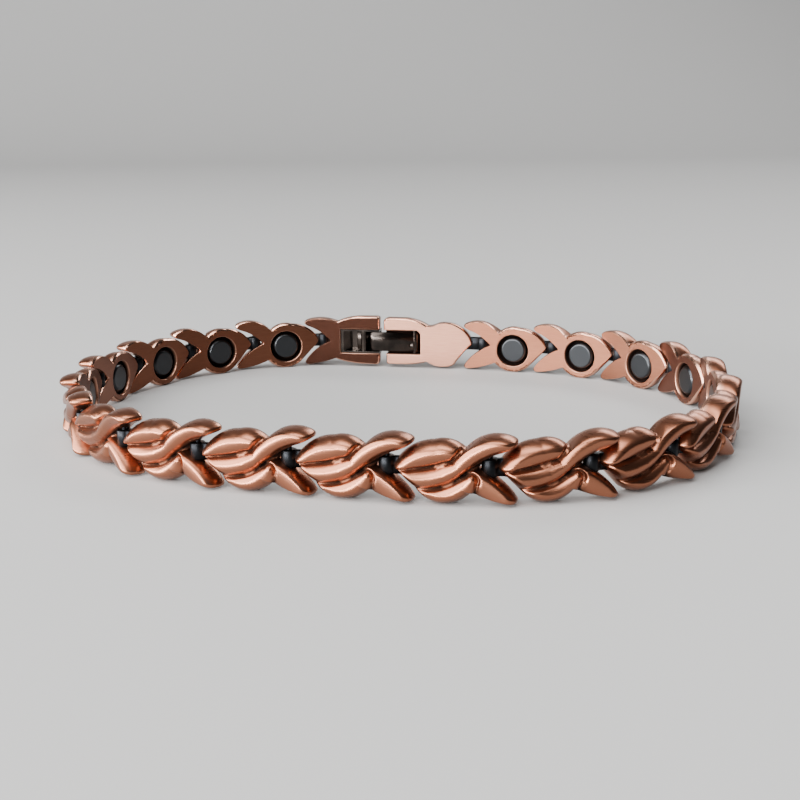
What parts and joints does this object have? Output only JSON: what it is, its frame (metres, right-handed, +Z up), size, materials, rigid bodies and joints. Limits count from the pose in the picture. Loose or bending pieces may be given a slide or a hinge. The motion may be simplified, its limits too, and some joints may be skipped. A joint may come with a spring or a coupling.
{
  "type": "magnetic bracelet",
  "caption": "Closed copper link bracelet with a braid raised on its outer side, round magnets set in its inner side and a fold-over clasp, lying on its side edge.",
  "frame": {"origin": "middle of the bottom of the box round the bracelet, on the surface that it lies on", "axes": "+Z up along the axis of the loop, +X to the right along the longest side, +Y away from the viewer towards the clasp"},
  "size_m": [0.0757, 0.0656, 0.0069],
  "materials": {
    "copper": "brushed antique copper with dark patina in the grooves",
    "magnet": "polished dark grey",
    "steel": "dark satin"
  },
  "bodies": {
    "root": {"link_01": "copper", "link_02": "copper", "link_03": "copper", "link_04": "copper", "link_05": "copper", "link_06": "copper", "link_07": "copper", "link_08": "copper", "link_09": "copper", "link_10": "copper", "link_11": "copper", "link_12": "copper", "link_13": "copper", "link_14": "copper", "link_15": "copper", "link_16": "copper", "link_17": "copper", "link_18": "copper", "link_19": "copper", "link_20": "copper", "magnet_01": "magnet", "magnet_02": "magnet", "magnet_03": "magnet", "magnet_04": "magnet", "magnet_05": "magnet", "magnet_06": "magnet", "magnet_07": "magnet", "magnet_08": "magnet", "magnet_09": "magnet", "magnet_10": "magnet", "magnet_11": "magnet", "magnet_12": "magnet", "magnet_13": "magnet", "magnet_14": "magnet", "magnet_15": "magnet", "magnet_16": "magnet", "magnet_17": "magnet", "magnet_18": "magnet", "magnet_19": "magnet", "magnet_20": "magnet", "hinge_connectors": "steel", "hinge_pins": "steel", "clasp_fork": "copper", "clasp_box": "steel", "clasp_nose": "copper", "clasp_tongue": "steel", "clasp_pin": "steel"}
  },
  "joints": []
}
